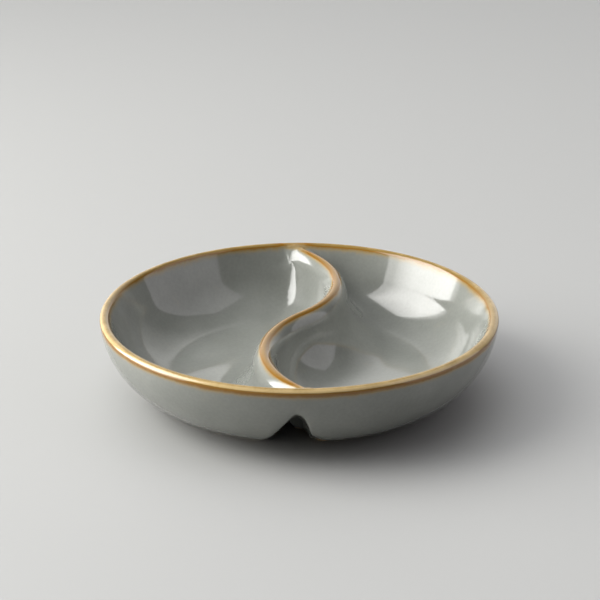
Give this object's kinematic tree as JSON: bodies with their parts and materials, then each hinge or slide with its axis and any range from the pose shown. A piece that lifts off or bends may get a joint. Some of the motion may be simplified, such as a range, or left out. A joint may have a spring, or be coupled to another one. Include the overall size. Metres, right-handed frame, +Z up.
{
  "type": "divided serving dish",
  "caption": "Round shallow stoneware serving dish parted by an S-shaped hollow divider, glossy grey glaze with honey-brown rim and crest, for olives and dips.",
  "frame": {"origin": "on the table under the middle of the dish, at the lowest point of the foot", "axes": "+Z up, +X to the right and -Y to the front as the dish stands in the picture"},
  "size_m": [0.17, 0.17, 0.036],
  "materials": {
    "fired_clay": "bare matte stoneware at the foot",
    "sage_glaze": "glossy grey-green glaze",
    "honey_glaze": "glossy honey-brown glaze breaking over the edges"
  },
  "bodies": {
    "root": {"stoneware_body": "fired_clay", "left_well_glaze": "sage_glaze", "right_well_glaze": "sage_glaze", "divider_glaze_band": "honey_glaze", "rim_glaze_band": "honey_glaze", "outer_glaze": "sage_glaze", "groove_glaze": "sage_glaze", "left_base_glaze": "sage_glaze", "right_base_glaze": "sage_glaze"}
  },
  "joints": []
}
